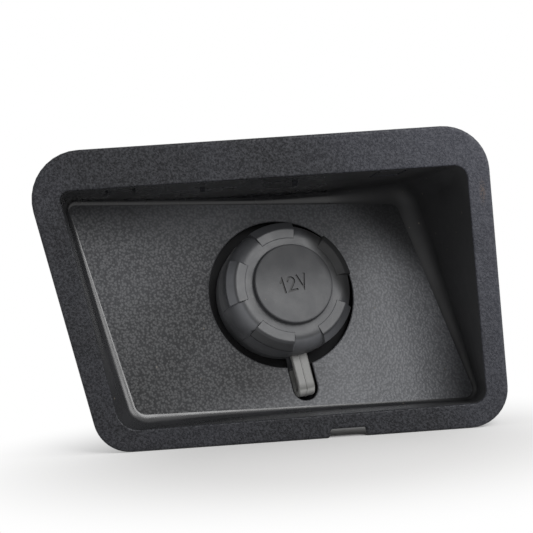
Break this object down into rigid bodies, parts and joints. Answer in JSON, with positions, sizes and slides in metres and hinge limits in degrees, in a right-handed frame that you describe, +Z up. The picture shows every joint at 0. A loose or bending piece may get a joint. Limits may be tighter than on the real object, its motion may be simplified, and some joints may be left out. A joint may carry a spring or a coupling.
{
  "type": "car 12v power socket",
  "caption": "Recessed car trim panel with a slanted pocket, holding a 12 V power socket under a ribbed rubber cap that swings open on its strap.",
  "frame": {"origin": "where the socket's axis crosses the front of the pocket floor, on the axis of the barrel's bore", "axes": "+X right along the flange's top edge, +Y into the car's trim, square to the flange, +Z up"},
  "size_m": [0.1188, 0.0789, 0.078],
  "materials": {
    "panel_plastic": "moulded, fine grain on the flange and a leather-like grain on the pocket floor",
    "cap_rubber": "matt moulded rubber with light mould lines",
    "housing_plastic": "satin moulded",
    "connector_plastic": "satin moulded",
    "plated_steel": "nickel plated, drawn",
    "spring_brass": "rolled sheet",
    "insulating_board": "pressed board",
    "screw_steel": "zinc plated"
  },
  "bodies": {
    "panel": {"trim_panel": "panel_plastic", "cap_strap": "cap_rubber", "socket_housing": "housing_plastic", "barrel": "plated_steel", "base_insulator": "insulating_board", "contact_spring": "spring_brass", "centre_contact": "plated_steel", "contact_rivet": "plated_steel", "rear_insulator": "insulating_board", "positive_terminal": "spring_brass", "rivet_washer": "plated_steel", "negative_terminal": "spring_brass", "earth_rivet": "plated_steel", "connector_housing": "connector_plastic", "screw_1": "screw_steel", "screw_2": "screw_steel", "screw_3": "screw_steel"},
    "cap": {"cap": "cap_rubber"}
  },
  "joints": [
    {"name": "cap_swing", "type": "hinge", "parent": "panel", "child": "cap", "pos_m": [0.00307, -0.0044, -0.01749], "axis": [0.958, 0.2686, 0.1005], "range_deg": [0, 90]}
  ]
}
